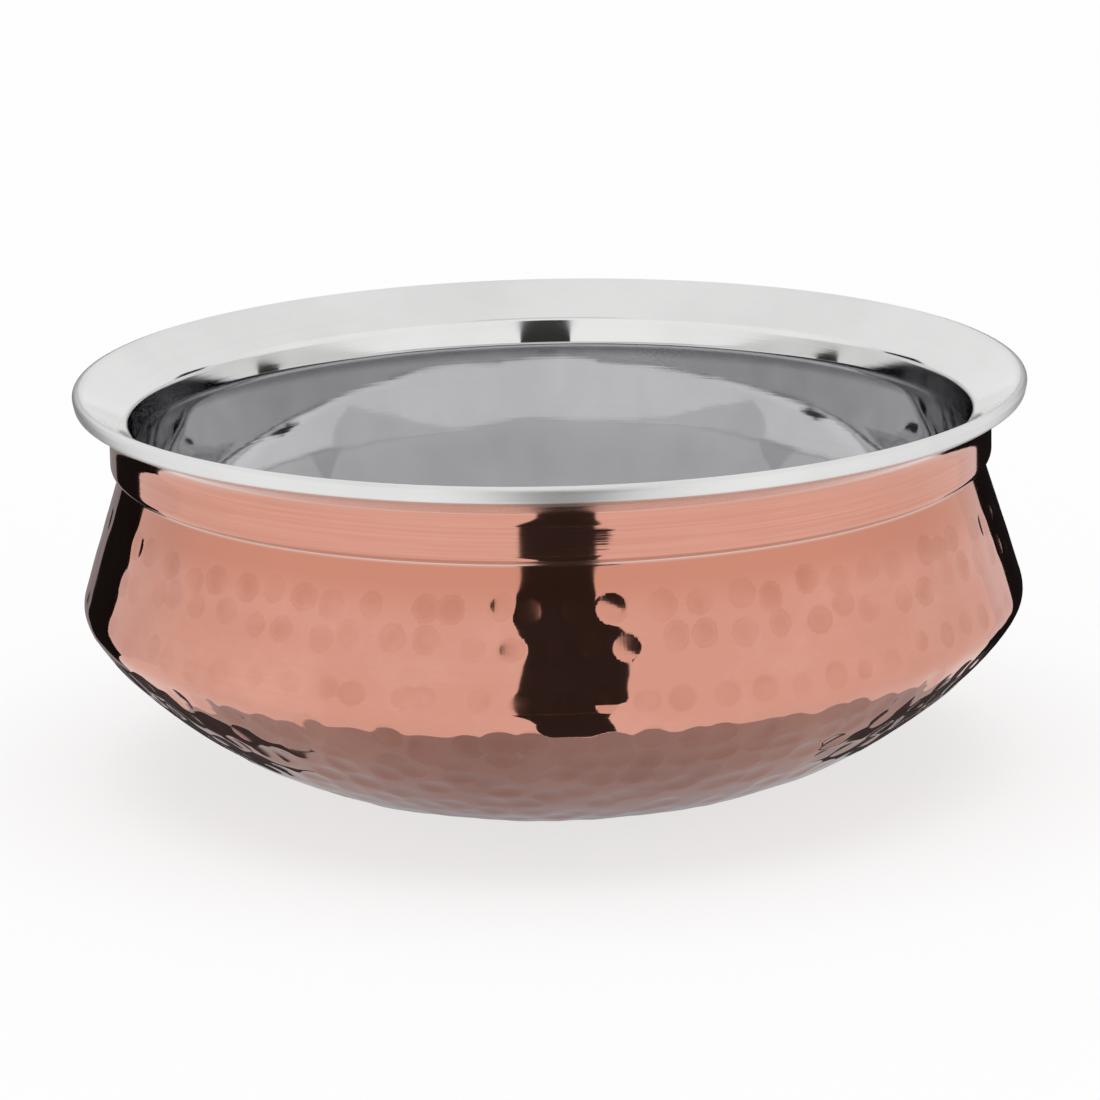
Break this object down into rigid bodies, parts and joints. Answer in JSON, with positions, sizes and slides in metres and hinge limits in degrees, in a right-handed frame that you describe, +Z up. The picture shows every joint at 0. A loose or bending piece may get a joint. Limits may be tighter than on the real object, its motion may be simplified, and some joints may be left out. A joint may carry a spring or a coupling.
{
  "type": "handi dish",
  "caption": "Round double-walled serving bowl: a polished steel liner with a flared, folded lip that holds a hammered copper jacket with a flat base.",
  "frame": {"origin": "centre of the flat base, on the surface that the dish stands on", "axes": "+Z up along the axis of the bowl; the dish is round, so +X and +Y are free"},
  "size_m": [0.16, 0.16, 0.0665],
  "materials": {
    "polished_steel": "polished",
    "hammered_copper": "polished"
  },
  "bodies": {
    "root": {"steel_liner": "polished_steel", "copper_jacket": "hammered_copper"}
  },
  "joints": []
}
